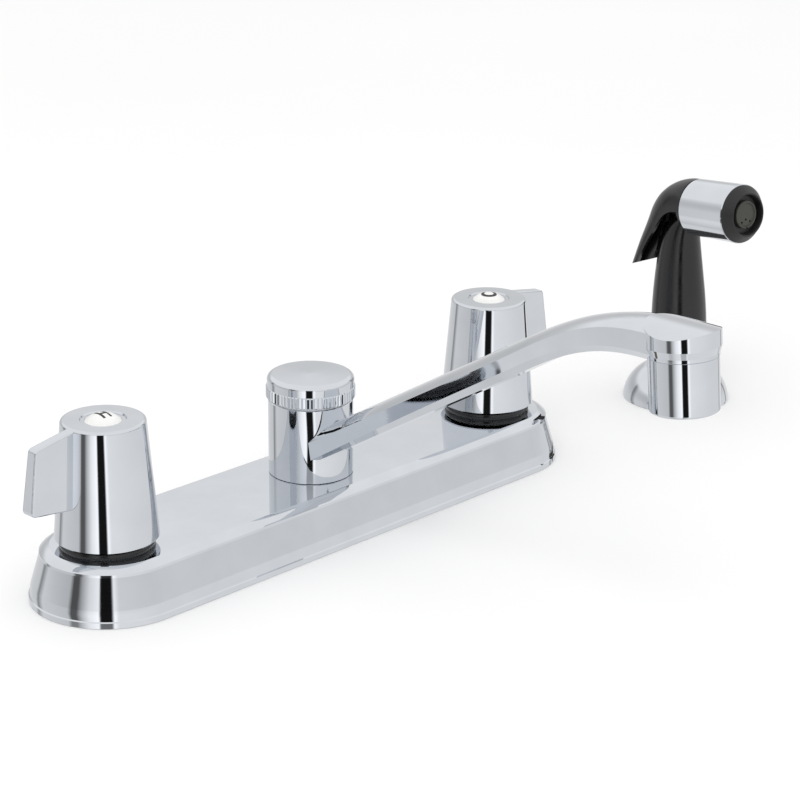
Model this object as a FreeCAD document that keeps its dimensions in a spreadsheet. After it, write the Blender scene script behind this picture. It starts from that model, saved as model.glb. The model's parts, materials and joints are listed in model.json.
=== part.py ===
"""Two-handle deck faucet with a swinging spout and a side sprayer, in millimetres.

+X runs from the spout to the cold handle, -Y from the spout to the user, and +Z is up.
The origin is the centre of the deck plate, on the surface that the faucet stands on.
"""
import FreeCAD, Part

import math
import os

import Sketcher
from FreeCAD import Placement, Rotation, Vector

DOC = FreeCAD.newDocument("TwoHandleFaucet")
SHEET = DOC.addObject("Spreadsheet::Sheet", "Sizes")
PARTS = []
UP = Vector(0, 0, 1)


# ---------------------------------------------------------------------------
# Driving sizes
# ---------------------------------------------------------------------------
class Size:
    """A number that also knows the spreadsheet expression it comes from."""

    def __init__(self, value, text):
        self.value = float(value)
        self.text = text

    def __add__(self, other):
        return joined(self, "+", other)

    def __radd__(self, other):
        return joined(other, "+", self)

    def __sub__(self, other):
        return joined(self, "-", other)

    def __rsub__(self, other):
        return joined(other, "-", self)

    def __mul__(self, other):
        return joined(self, "*", other)

    def __rmul__(self, other):
        return joined(other, "*", self)

    def __truediv__(self, other):
        return joined(self, "/", other)

    def __neg__(self):
        return Size(-self.value, f"(0 - {self.text})")


def as_size(thing):
    if isinstance(thing, Size):
        return thing
    return Size(thing, f"({thing!r})")


def joined(first, sign, second):
    """Join two sizes into one, keeping both the number and the expression."""
    a = as_size(first)
    b = as_size(second)
    results = {"+": a.value + b.value, "-": a.value - b.value, "*": a.value * b.value}
    if sign == "/":
        results["/"] = a.value / b.value
    return Size(results[sign], f"({a.text} {sign} {b.text})")


def size(alias, value):
    """Write one driving dimension into the next row of the sheet."""
    size.rows += 1
    SHEET.set(f"A{size.rows}", alias)
    SHEET.set(f"B{size.rows}", str(value))
    SHEET.setAlias(f"B{size.rows}", alias)
    return Size(value, f"Sizes.{alias}")


size.rows = 0

# Deck plate
HANDLE_SPACING = size("handle_spacing", 203.2)
HANDLE_X = HANDLE_SPACING / 2
PLATE_ARC_X = size("plate_arc_centre", 100.28)
PLATE_HALF = size("plate_half_width", 29.78)
PLATE_TOP = size("plate_top", 20.55)
PLATE_RIM = size("plate_rim_height", 2.1)
PLATE_WALL = size("plate_wall", 1.8)
PLATE_FLAT_HALF = size("plate_flat_half_width", 21.8)
PLATE_HOLE_R = size("plate_handle_hole_radius", 11.2)
POST_HOLE_R = size("plate_post_hole_radius", 12.9)
GASKET_T = size("gasket_thickness", 1.8)
UNDER_PLATE = PLATE_TOP - PLATE_WALL

# Valve body, the same on both sides
SHANK_R = size("shank_radius", 10.45)
SHANK_END = size("shank_length", 60.0)
SUPPLY_THREAD_L = size("supply_thread_length", 13.0)
THREAD_RELIEF = size("thread_relief_depth", 0.65)
SHANK_BORE_R = size("shank_bore_radius", 6.4)
COLLAR_R = size("collar_radius", 15.0)
BARREL_R = size("barrel_radius", 11.0)
BARREL_TOP = size("barrel_top", 36.0)
CHAMBER_R = size("chamber_radius", 9.05)
SEAT_Z = size("seat_height", 4.0)
PORT_R = size("port_radius", 4.0)
TUBE_Z = size("waterway_height", 11.0)
TUBE_R = size("waterway_radius", 4.75)
TUBE_WALL = size("waterway_wall", 0.8)
BOSS_R = size("boss_radius", 7.2)
BOSS_END = size("boss_reach", 20.0)
TUBE_STOP = size("tube_stop", 15.0)
CLAMP_Z = size("valve_clamp_depth", 34.5)
WASHER_T = size("washer_thickness", 1.5)

# Cartridge stack
SEAL_T = size("seat_seal_thickness", 2.5)
DISC_T = size("ceramic_disc_thickness", 2.6)
DISC_R = size("ceramic_disc_radius", 7.9)
CARTRIDGE_R = size("cartridge_radius", 9.0)
CARTRIDGE_FLANGE_R = size("cartridge_flange_radius", 10.0)
NECK_R = size("cartridge_neck_radius", 6.4)
NECK_TOP = size("cartridge_neck_top", 43.0)
STEM_R = size("stem_radius", 4.5)
SQUARE = size("stem_square", 6.0)
STEM_TOP = size("stem_top", 57.0)
STEM_HOLE_R = size("stem_screw_hole_radius", 1.98)
BONNET_FLATS = size("bonnet_nut_flats", 24.6)
BONNET_TOP = size("bonnet_nut_top", 41.0)

# Handle
SKIRT_R = size("handle_skirt_radius", 18.85)
SKIRT_Z = size("handle_skirt_height", 23.73)
CROWN_R = size("handle_top_radius", 15.2)
HANDLE_TOP = size("handle_top", 67.8)
HANDLE_WALL = size("handle_wall", 2.2)
BUTTON_R = size("button_radius", 6.6)
WEB_GAP = size("gap_over_stem", 0.15)
WEB_T = size("handle_web_thickness", 2.4)
SCREW_SEAT = STEM_TOP + WEB_GAP + WEB_T
STEM_BOSS_R = size("handle_boss_radius", 7.2)
BLADE_LOW_REACH = size("blade_low_reach", 35.7)
BLADE_TOP_REACH = size("blade_top_reach", 31.2)
BLADE_LOW_T = size("blade_low_thickness", 6.0)
BLADE_TOP_T = size("blade_top_thickness", 4.2)
BLADE_FOOT_Z = SKIRT_Z + 13.4
BUTTON_RISE = size("button_dome_rise", 2.4)

# Spout, its post and its nut
HUB_R = size("hub_radius", 16.3)
HUB_BORE_R = size("hub_bore_radius", 12.58)
HUB_TOP = size("hub_top", 50.3)
POST_R = size("post_radius", 12.5)
POST_THREAD_R = size("post_thread_radius", 11.5)
POST_TOP = size("post_top", 57.5)
POST_BORE_R = size("post_bore_radius", 7.2)
HOSE_SHANK_R = size("hose_shank_radius", 6.6)
HOSE_SHANK_END = size("hose_shank_length", 24.0)
NUT_R = size("spout_nut_radius", 17.1)
NUT_BOTTOM = size("spout_nut_bottom", 50.95)
NUT_TOP = size("spout_nut_top", 60.06)
KNURL_T = size("knurl_height", 4.1)
ARM_SLOPE = size("arm_slope", 0.592)
ARM_BEND_Y = size("arm_bend_start", 116.0)
ARM_BEND_R = size("arm_bend_radius", 112.0)
ARM_TOP_AT_HUB = size("arm_top_at_axis", 35.5)
CHANNEL_R = size("water_channel_radius", 3.8)
OUTLET_Y = size("outlet_reach", 174.6)
OUTLET_Z = size("outlet_seam_height", 108.8)
OUTLET_TILT = size("outlet_tilt", 5.0)
TIP_R = size("spout_tip_radius", 12.85)
TIP_TOP = size("spout_tip_top", 119.3)
TIP_CROWN_R = size("spout_tip_crown_radius", 33.0)
SHELL_R = size("aerator_radius", 11.9)
SHELL_H = size("aerator_height", 19.0)
SHELL_LIP = size("aerator_lip", 1.4)
INSERT_H = size("aerator_insert_height", 6.4)
SCREEN_T = size("aerator_screen_thickness", 0.9)
NIPPLE_R = size("outlet_nipple_radius", 9.9)
NIPPLE_L = size("outlet_nipple_length", 8.0)

# Side sprayer
SPRAY_X = size("sprayer_x", 215.2)
SPRAY_Y = size("sprayer_y", 11.9)
SPRAY_TURN = size("sprayer_rest_turn", 8.0)
HOLDER_R = size("holder_flange_radius", 23.28)
HOLDER_COLLAR_R = size("holder_collar_radius", 14.3)
HOLDER_TOP = size("holder_top", 14.1)
HOLDER_BORE_R = size("holder_bore_radius", 12.3)
HOLDER_SHANK_R = size("holder_shank_radius", 15.5)
HOLDER_SHANK_END = size("holder_shank_length", 34.0)
HOLDER_CLAMP_Z = size("holder_clamp_depth", 19.5)
FLANGE_RECESS = size("holder_recess", 1.5)
HOSE_BORE_R = size("hose_coupling_bore_radius", 4.2)
GRIP_FOOT_R = size("grip_foot_radius", 11.6)
GRIP_FOOT_Z = size("grip_foot_depth", 10.4)
GRIP_SOCKET_R = size("grip_socket_radius", 7.1)
GRIP_R = size("grip_radius", 12.35)
GRIP_BASE_Z = size("grip_base_height", 21.0)
BARREL_R_REAR = size("barrel_rear_radius", 9.0)
WATERWAY_R = size("grip_waterway_radius", 3.5)
WATERWAY_TOP = size("grip_waterway_top", 50.0)
DRILL_R = size("water_drilling_radius", 0.95)
RISER_R = size("riser_radius", 1.1)
RISER_X = size("riser_side", 2.8)
RISER_Y = size("riser_forward", 2.4)
HEAD_TILT = size("head_tilt", 5.6)
HEAD_Y = size("head_seam_forward", 8.44)
HEAD_Z = size("head_seam_height", 88.4)
SLEEVE_L = size("sleeve_length", 25.7)
SLEEVE_BACK_R = size("sleeve_back_radius", 12.25)
SLEEVE_FRONT_R = size("sleeve_front_radius", 12.6)
SLEEVE_BORE_R = size("sleeve_bore_radius", 10.9)
SPRAY_DISC_R = size("spray_disc_radius", 6.0)
PIN_Y = size("lever_pin_forward", 2.5)
PIN_Z = size("lever_pin_height", 88.5)
PIN_R = size("lever_pin_radius", 1.2)
PIN_HALF = size("lever_pin_half_length", 10.6)
VALVE_Y = size("spray_valve_back", 3.8)
VALVE_BORE_R = size("spray_valve_bore_radius", 2.6)
STEM_ROD_R = size("spray_valve_rod_radius", 1.2)
GLAND_LOW = size("spray_valve_gland_low", 69.5)
GLAND_TOP = size("spray_valve_gland_top", 74.6)
SPRING_FLOOR = size("spray_valve_spring_floor", 60.0)
VALVE_SEAT_Z = size("spray_valve_seat", 56.0)
STEM_FOOT_Z = size("spray_valve_stem_foot", 51.0)
STEM_TIP_Z = size("spray_valve_stem_tip", 84.5)
JET_R = size("spray_jet_radius", 0.5)
JET_REACH = size("spray_jet_reach", 3.4)

# Clearances: a seated fit, and a running fit
SEATED = size("seated_gap", 0.05)
RUNNING = size("running_gap", 0.06)


# ---------------------------------------------------------------------------
# Helpers
# ---------------------------------------------------------------------------
def bind(thing, prop, value):
    """Set a property from a size, by expression where the size has one."""
    if isinstance(value, Size):
        thing.setExpression(prop, value.text)
    else:
        setattr(thing, prop, value)


def place(thing, label, spot=(0, 0, 0), turn=0):
    """Name a sub-part and bind its Placement: a spot, and a turn about Z in degrees."""
    thing.Label = label
    thing.Placement = Placement(Vector(0, 0, 0), Rotation(UP, as_size(turn).value))
    for axis, value in zip("xyz", spot):
        if isinstance(value, Size) or value:
            thing.setExpression(f"Placement.Base.{axis}", as_size(value).text)
    PARTS.append(thing)
    return thing


def new_body(name):
    return DOC.addObject("PartDesign::Body", name)


def datum(body, role):
    """An origin plane or axis of the body, found by its role."""
    return next(item for item in body.Origin.OriginFeatures if item.Role == role)


def hold(sketch, edge, end, corner):
    """Fix one end of an edge at a corner, with each distance bound to its size."""
    for kind, axis, distance in (("DistanceX", -2, corner[0]), ("DistanceY", -1, corner[1])):
        distance = as_size(distance)
        if abs(distance.value) < 1e-9:
            sketch.addConstraint(Sketcher.Constraint("PointOnObject", edge, end, axis))
            continue
        ends = (-1, 1, edge, end)
        text = distance.text
        if distance.value < 0:
            ends = (edge, end, -1, 1)
            text = f"0 - {distance.text}"
        index = sketch.addConstraint(Sketcher.Constraint(kind, *ends, abs(distance.value)))
        sketch.setExpression(f"Constraints[{index}]", text)


def add_arc(sketch, start, finish, radius, leftward):
    """Add an arc of under a half circle, and return it with its own end numbers."""
    chord = finish - start
    rise = math.sqrt(radius * radius - chord.Length * chord.Length / 4)
    side = 1 if leftward else -1
    centre = (start + finish) / 2 + Vector(-chord.y, chord.x, 0) * (side * rise / chord.Length)
    ends = (start, finish) if leftward else (finish, start)
    first, last = (math.atan2(p.y - centre.y, p.x - centre.x) for p in ends)
    if last < first:
        last += 2 * math.pi
    curve = Part.ArcOfCircle(Part.Circle(centre, UP, radius), first, last)
    edge = sketch.addGeometry(curve, False)
    return (edge, 1, 2) if leftward else (edge, 2, 1)


def outline(sketch, corners):
    """Draw a closed outline. A corner is (x, y), or (x, y, "left" or "right", radius) where
    the edge that leaves it is an arc that turns that way."""
    points = [Vector(as_size(c[0]).value, as_size(c[1]).value, 0) for c in corners]
    edges = []
    for i, corner in enumerate(corners):
        following = points[(i + 1) % len(points)]
        if len(corner) == 2:
            edges.append((sketch.addGeometry(Part.LineSegment(points[i], following), False), 1, 2))
            continue
        radius = as_size(corner[3])
        edge = add_arc(sketch, points[i], following, radius.value, corner[2] == "left")
        index = sketch.addConstraint(Sketcher.Constraint("Radius", edge[0], radius.value))
        sketch.setExpression(f"Constraints[{index}]", radius.text)
        edges.append(edge)
    for i, (edge, start, _) in enumerate(edges):
        before = edges[i - 1]
        sketch.addConstraint(Sketcher.Constraint("Coincident", before[0], before[2], edge, start))
        hold(sketch, edge, start, corners[i])


def ring(sketch, radius, centre=(0, 0)):
    """Add a full circle to a sketch."""
    radius = as_size(radius)
    spot = Vector(as_size(centre[0]).value, as_size(centre[1]).value, 0)
    edge = sketch.addGeometry(Part.Circle(spot, UP, radius.value), False)
    index = sketch.addConstraint(Sketcher.Constraint("Radius", edge, radius.value))
    sketch.setExpression(f"Constraints[{index}]", radius.text)
    hold(sketch, edge, 3, centre)


def new_sketch(body, role, offset=(0, 0, 0), turn=0, about=UP):
    """A sketch on one of the body's origin planes, shifted, and turned about one of the
    plane's own axes (its normal by default)."""
    sketch = body.newObject("Sketcher::SketchObject", "Sketch")
    sketch.AttachmentSupport = [(datum(body, role), "")]
    sketch.MapMode = "FlatFace"
    if as_size(turn).value:
        sketch.AttachmentOffset = Placement(Vector(0, 0, 0), Rotation(about, as_size(turn).value))
        if isinstance(turn, Size):
            sketch.setExpression("AttachmentOffset.Rotation.Angle", turn.text)
    for axis, value in zip("xyz", offset):
        if isinstance(value, Size) or value:
            sketch.setExpression(f"AttachmentOffset.Base.{axis}", as_size(value).text)
    return sketch


def feature(body, kind, sketch, **settings):
    """Add a sketch-based feature and make it the body's tip."""
    made = body.newObject(f"PartDesign::{kind}", kind)
    made.Profile = sketch
    for prop, value in settings.items():
        bind(made, prop, value)
    body.Tip = made
    return made


def revolve(body, corners, role="XZ_Plane", offset=(0, 0, 0), turn=0, kind="Revolution", sweep=360):
    """Turn a half section about the upright axis of its sketch."""
    sketch = new_sketch(body, role, offset, turn)
    outline(sketch, corners)
    made = feature(body, kind, sketch, Angle=sweep)
    made.ReferenceAxis = (sketch, ["V_Axis"])
    made.Midplane = sweep < 360
    return made


def pad(body, draw, length, role="XY_Plane", offset=(0, 0, 0), turn=0, middle=False, kind="Pad",
        back=False):
    """Pad or pocket a sketch that the draw function fills."""
    sketch = new_sketch(body, role, offset, turn)
    draw(sketch)
    made = feature(body, kind, sketch, Length=length)
    made.SideType = "Symmetric" if middle else "One side"
    made.Reversed = back
    return made


def pocket(body, draw, length, **settings):
    return pad(body, draw, length, kind="Pocket", **settings)


def repeat(body, original, count):
    """Repeat a feature around the body's Z axis."""
    made = body.newObject("PartDesign::PolarPattern", "PolarPattern")
    made.Originals = [original]
    made.Axis = (datum(body, "Z_Axis"), [""])
    made.Angle = 360
    made.Occurrences = count
    body.Tip = made
    return made


def loft(body, sketches):
    made = feature(body, "AdditiveLoft", sketches[0])
    made.Sections = sketches[1:]
    return made


def soften(body, radius, wanted):
    """Round the edges of the body so far that the wanted test picks."""
    DOC.recompute()
    base = body.Tip
    names = [f"Edge{i}" for i, edge in enumerate(base.Shape.Edges, 1) if wanted(edge)]
    made = body.newObject("PartDesign::Fillet", "Fillet")
    made.Base = (base, names)
    bind(made, "Radius", radius)
    body.Tip = made


def tube(label, outer, bore, low, high, spot=(0, 0, 0), turn=0):
    """A plain washer, gland or sleeve: one square-edged ring about Z."""
    body = new_body(label)
    revolve(body, [(bore, low), (outer, low), (outer, high), (bore, high)])
    return place(body, label, spot, turn)


def hexagon(flats):
    """The corners of a hexagon about the origin, given its width across flats."""
    corner = flats / math.sqrt(3)
    return [(corner * math.cos(math.radians(60 * i)), corner * math.sin(math.radians(60 * i)))
            for i in range(6)]


def middle_of(edge):
    return edge.valueAt((edge.FirstParameter + edge.LastParameter) / 2)


def dome(half, rise):
    """The radius of a cap that rises this much over this half width, level at its crown."""
    return (half * half + rise * rise) / (rise * 2)


# ---------------------------------------------------------------------------
# Deck plate and gasket
# ---------------------------------------------------------------------------
def plate_half_section():
    """One side of the plate's wall, from the crown's flat down outside and back up inside.

    The wall leans in from a small upright rim, ends in a fine bead under the shoulder, and the
    shoulder rolls over into the flat top.
    """
    bead = PLATE_HALF - 4.3
    outside = [
        (PLATE_FLAT_HALF, PLATE_TOP, "right", 6.4),
        (bead - 0.35, PLATE_TOP - 1.75),
        (bead, PLATE_TOP - 2.1),
        (bead, PLATE_TOP - 3.1),
        (PLATE_HALF - 1.0, PLATE_RIM + 4.2, "right", 16.0),
        (PLATE_HALF - 0.45, PLATE_RIM + 0.35),
        (PLATE_HALF, PLATE_RIM),
        (PLATE_HALF, 0),
    ]
    inside = [
        (PLATE_HALF - PLATE_WALL, 0),
        (PLATE_HALF - PLATE_WALL - 0.6, PLATE_RIM + 4.2),
        (bead - PLATE_WALL, PLATE_TOP - 3.6),
        (PLATE_FLAT_HALF - 0.4, UNDER_PLATE),
    ]
    return outside, inside


def mirrored_corners(corners):
    """The same corners on the other side of the upright axis, in the opposite order."""
    flipped = []
    for i, corner in enumerate(reversed(corners)):
        source = corners[len(corners) - 2 - i] if i < len(corners) - 1 else ()
        bend = source[2:]
        flipped.append((-corner[0], corner[1], *bend))
    return flipped


def make_deck_plate():
    """A drawn shell: a straight run with half-round ends, open underneath."""
    body = new_body("deck_plate")
    outside, inside = plate_half_section()
    section = outside + inside + mirrored_corners(inside) + mirrored_corners(outside)
    pad(body, lambda sketch: outline(sketch, section), PLATE_ARC_X * 2, role="YZ_Plane",
        middle=True)
    half = [(0, PLATE_TOP)] + outside + inside + [(0, UNDER_PLATE)]
    end = revolve(body, half, offset=(PLATE_ARC_X, 0, 0), sweep=180)
    other_end = body.newObject("PartDesign::Mirrored", "Mirrored")
    other_end.Originals = [end]
    other_end.MirrorPlane = (datum(body, "YZ_Plane"), [""])
    body.Tip = other_end

    def holes(sketch):
        ring(sketch, PLATE_HOLE_R, (HANDLE_X, 0))
        ring(sketch, PLATE_HOLE_R, (-HANDLE_X, 0))
        ring(sketch, POST_HOLE_R)

    pocket(body, holes, PLATE_TOP, back=True)
    return place(body, "deck_plate")


def stadium(half_width):
    """A long outline with half-round ends, each end drawn as two quarter arcs."""
    return [
        (-PLATE_ARC_X, -half_width),
        (PLATE_ARC_X, -half_width, "left", half_width),
        (PLATE_ARC_X + half_width, 0, "left", half_width),
        (PLATE_ARC_X, half_width),
        (-PLATE_ARC_X, half_width, "left", half_width),
        (-PLATE_ARC_X - half_width, 0, "left", half_width),
    ]


def make_deck_gasket():
    """A flat foam ring just inside the plate's rim."""
    body = new_body("deck_gasket")
    outer = PLATE_HALF - PLATE_WALL - 0.2

    def draw(sketch):
        outline(sketch, stadium(outer))
        outline(sketch, stadium(outer - 5.0))

    pad(body, draw, GASKET_T)
    return place(body, "deck_gasket")


# ---------------------------------------------------------------------------
# Valves under the handles
# ---------------------------------------------------------------------------
def tube_boss(body, reach_sign=1):
    """A round boss along X for the waterway tube, and the bore that lets the tube in."""
    pad(body, lambda sketch: ring(sketch, BOSS_R, (0, TUBE_Z)), BOSS_END - 10.0,
        role="YZ_Plane", offset=(0, 0, reach_sign * 10.0), back=reach_sign < 0)


def tube_bore(body, reach_sign=1):
    pocket(body, lambda sketch: ring(sketch, TUBE_R + 0.02, (0, TUBE_Z)),
           BOSS_END - TUBE_STOP + 1.0, role="YZ_Plane",
           offset=(0, 0, reach_sign * TUBE_STOP), back=reach_sign > 0)
    pocket(body, lambda sketch: ring(sketch, TUBE_R - TUBE_WALL, (0, TUBE_Z)),
           TUBE_STOP - 5.0, role="YZ_Plane",
           offset=(0, 0, reach_sign * 5.0), back=reach_sign > 0)


def make_valve_body(side, x, turn):
    """The brass body: a threaded shank below the deck with a relief above the supply thread,
    a collar under the plate and a barrel that comes up through it, bored for the cartridge."""
    body = new_body(f"{side}_valve_body")
    supply_top = SUPPLY_THREAD_L - SHANK_END
    revolve(body, [
        (SHANK_BORE_R, -SHANK_END),
        (SHANK_R - 0.7, -SHANK_END),
        (SHANK_R, -SHANK_END + 0.7),
        (SHANK_R, supply_top),
        (SHANK_R - THREAD_RELIEF, supply_top),
        (SHANK_R - THREAD_RELIEF, supply_top + 1.0),
        (SHANK_R, supply_top + 1.0),
        (SHANK_R, 2.0),
        (COLLAR_R, 2.0),
        (COLLAR_R, UNDER_PLATE),
        (BARREL_R, UNDER_PLATE),
        (BARREL_R, BARREL_TOP - 0.5),
        (BARREL_R - 0.5, BARREL_TOP),
        (CHAMBER_R, BARREL_TOP),
        (CHAMBER_R, SEAT_Z),
        (PORT_R, SEAT_Z),
        (PORT_R, 1.0),
        (SHANK_BORE_R, 0),
    ])
    tube_boss(body)
    tube_bore(body)
    return place(body, f"{side}_valve_body", (x, 0, 0), turn)


def make_deck_nut(side, x, turn):
    """The black moulded nut that clamps the plate and shows as a ring below the handle."""
    body = new_body(f"{side}_deck_nut")
    thread = BARREL_R + SEATED
    revolve(body, [
        (thread, PLATE_TOP),
        (SKIRT_R - 1.9, PLATE_TOP, "left", 2.4),
        (SKIRT_R - 1.7, PLATE_TOP + 2.3),
        (SKIRT_R - 2.4, PLATE_TOP + 2.8),
        (COLLAR_R - 0.2, PLATE_TOP + 2.8),
        (COLLAR_R - 0.2, PLATE_TOP + 7.0),
        (thread, PLATE_TOP + 7.0),
    ])
    return place(body, f"{side}_deck_nut", (x, 0, 0), turn)


def make_seat_seal(side, x, turn):
    return tube(f"{side}_seat_seal", CHAMBER_R - 0.15, PORT_R + 1.0, SEAT_Z, SEAT_Z + SEAL_T,
                (x, 0, 0), turn)


def make_cartridge(side, x, turn):
    """The brass cartridge sleeve, windowed at the ceramic discs and necked for the stem."""
    body = new_body(f"{side}_cartridge")
    foot = SEAT_Z + SEAL_T
    revolve(body, [
        (DISC_R + 0.1, foot),
        (CARTRIDGE_R, foot),
        (CARTRIDGE_R, BARREL_TOP),
        (CARTRIDGE_FLANGE_R, BARREL_TOP),
        (CARTRIDGE_FLANGE_R, BARREL_TOP + 2.0),
        (NECK_R, BARREL_TOP + 2.0),
        (NECK_R, NECK_TOP),
        (STEM_R + RUNNING, NECK_TOP),
        (STEM_R + RUNNING, 18.0),
        (DISC_R + 0.1, 18.0),
    ])
    pocket(body, lambda sketch: ring(sketch, PORT_R - 0.3, (0, TUBE_Z + 0.4)), 40.0,
           role="YZ_Plane", middle=True)
    return place(body, f"{side}_cartridge", (x, 0, 0), turn)


def make_ceramic_disc(side, kind, low, x, turn):
    """A lapped ceramic disc with two opposite water ports."""
    label = f"{side}_{kind}_disc"
    body = new_body(label)

    def draw(sketch):
        ring(sketch, DISC_R)
        ring(sketch, DISC_R / 4, (0, DISC_R / 2))
        ring(sketch, DISC_R / 4, (0, -DISC_R / 2))

    pad(body, draw, DISC_T, offset=(0, 0, low))
    return place(body, label, (x, 0, 0), turn)


def make_stem(side, x, turn):
    """The turning stem: a driving foot on the upper disc and a square top for the handle."""
    body = new_body(f"{side}_stem")
    foot = SEAT_Z + SEAL_T + DISC_T * 2 + SEATED * 2
    revolve(body, [
        (0, foot),
        (DISC_R - 0.1, foot),
        (DISC_R - 0.1, foot + 3.4),
        (STEM_R, foot + 3.4),
        (STEM_R, NECK_TOP + 0.6),
        (0, NECK_TOP + 0.6),
    ])
    half = SQUARE / 2
    corners = [(-half, -half), (half, -half), (half, half), (-half, half)]
    pad(body, lambda sketch: outline(sketch, corners), STEM_TOP - NECK_TOP,
        offset=(0, 0, NECK_TOP))
    pocket(body, lambda sketch: ring(sketch, STEM_HOLE_R), 9.0,
           offset=(0, 0, STEM_TOP))
    return place(body, f"{side}_stem", (x, 0, 0), turn)


def make_bonnet_nut(side, x, turn):
    """The hexagon nut that holds the cartridge down in the barrel."""
    body = new_body(f"{side}_bonnet_nut")
    low = BARREL_TOP - 7.0
    pad(body, lambda sketch: outline(sketch, hexagon(BONNET_FLATS)), BONNET_TOP - low,
        offset=(0, 0, low))
    revolve(body, [
        (0, low - 1.0),
        (BARREL_R + SEATED, low - 1.0),
        (BARREL_R + SEATED, BARREL_TOP + 2.0 + SEATED),
        (NECK_R + 0.2, BARREL_TOP + 2.0 + SEATED),
        (NECK_R + 0.2, BONNET_TOP + 1.0),
        (0, BONNET_TOP + 1.0),
    ], kind="Groove")
    return place(body, f"{side}_bonnet_nut", (x, 0, 0), turn)


def make_lock_washer(side, x, turn):
    return tube(f"{side}_lock_washer", 19.0, SHANK_R + 0.25, -CLAMP_Z, WASHER_T - CLAMP_Z,
                (x, 0, 0), turn)


def winged_nut(label, bore, body_r, wing_r, top, spot, turn=0):
    """A moulded ring nut with four grip wings, tightened by hand under the deck."""
    body = new_body(label)
    drop = 11.0
    revolve(body, [
        (bore, top - drop),
        (body_r - 1.0, top - drop),
        (body_r, top - drop + 1.0),
        (body_r, top),
        (bore, top),
    ])
    reach = body_r - 1.5

    def wing(sketch):
        outline(sketch, [(reach, -2.2), (wing_r, -1.5), (wing_r, 1.5), (reach, 2.2)])

    one = pad(body, wing, drop - 2.0, offset=(0, 0, top - drop + 1.0))
    repeat(body, one, 4)
    return place(body, label, spot, turn)


def make_waterway_tube(side, x_sign):
    """The straight copper tube from a valve body to the spout's post, under the plate."""
    start = TUBE_STOP + 0.1
    length = HANDLE_X - TUBE_STOP * 2 - 0.2
    drawn = []
    for name, radius in (("wall", TUBE_R), ("bore", TUBE_R - TUBE_WALL)):
        cylinder = DOC.addObject("Part::Cylinder", f"{side}_tube_{name}")
        bind(cylinder, "Radius", radius)
        bind(cylinder, "Height", length)
        cylinder.Placement = Placement(Vector(0, 0, 0), Rotation(Vector(0, 1, 0), 90 * x_sign))
        cylinder.setExpression("Placement.Base.x", (start * x_sign).text)
        cylinder.setExpression("Placement.Base.z", TUBE_Z.text)
        drawn.append(cylinder)
    cut = DOC.addObject("Part::Cut", f"{side}_waterway_tube")
    cut.Base, cut.Tool = drawn
    return place(cut, f"{side}_waterway_tube")


# ---------------------------------------------------------------------------
# Handles
# ---------------------------------------------------------------------------
def make_handle(side, x, turn):
    """A tapered hollow cap with one flat blade, drawn with the blade along local +X.

    The roof is recessed for the index button and its screw, and a boss below it takes the
    stem's square.
    """
    body = new_body(f"{side}_handle")
    make_blade(body)
    web = STEM_TOP + WEB_GAP
    inner_top = web - 4.0
    lean = (SKIRT_R - CROWN_R) / (HANDLE_TOP - SKIRT_Z)
    revolve(body, [
        (SKIRT_R - HANDLE_WALL, SKIRT_Z),
        (SKIRT_R - 0.3, SKIRT_Z),
        (SKIRT_R, SKIRT_Z + 0.4),
        (CROWN_R + lean * 1.0, HANDLE_TOP - 1.0, "left", 1.15),
        (CROWN_R - 1.0, HANDLE_TOP),
        (BUTTON_R + 1.8, HANDLE_TOP),
        (BUTTON_R + 1.4, HANDLE_TOP - 0.6),
        (BUTTON_R + SEATED, HANDLE_TOP - 0.6),
        (BUTTON_R + SEATED, SCREW_SEAT),
        (STEM_HOLE_R + 0.3, SCREW_SEAT),
        (STEM_HOLE_R + 0.3, NECK_TOP + 1.0),
        (STEM_BOSS_R, NECK_TOP + 1.0),
        (STEM_BOSS_R, inner_top - 1.0),
        (8.2, inner_top),
        (SKIRT_R - HANDLE_WALL - lean * (inner_top - SKIRT_Z), inner_top),
    ])
    half = SQUARE / 2 + SEATED
    square = [(-half, -half), (half, -half), (half, half), (-half, half)]
    pocket(body, lambda sketch: outline(sketch, square), web - NECK_TOP,
           offset=(0, 0, NECK_TOP), back=True)
    cavity_r = SKIRT_R - HANDLE_WALL - lean * 20.0
    revolve(body, [
        (STEM_BOSS_R, NECK_TOP - 8.0),
        (cavity_r, NECK_TOP - 8.0),
        (cavity_r - 1.2, inner_top - 0.3),
        (STEM_BOSS_R + 0.4, inner_top - 0.3),
        (STEM_BOSS_R, inner_top - 1.0),
    ], kind="Groove")
    return place(body, f"{side}_handle", (x, 0, 0), turn)


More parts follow.
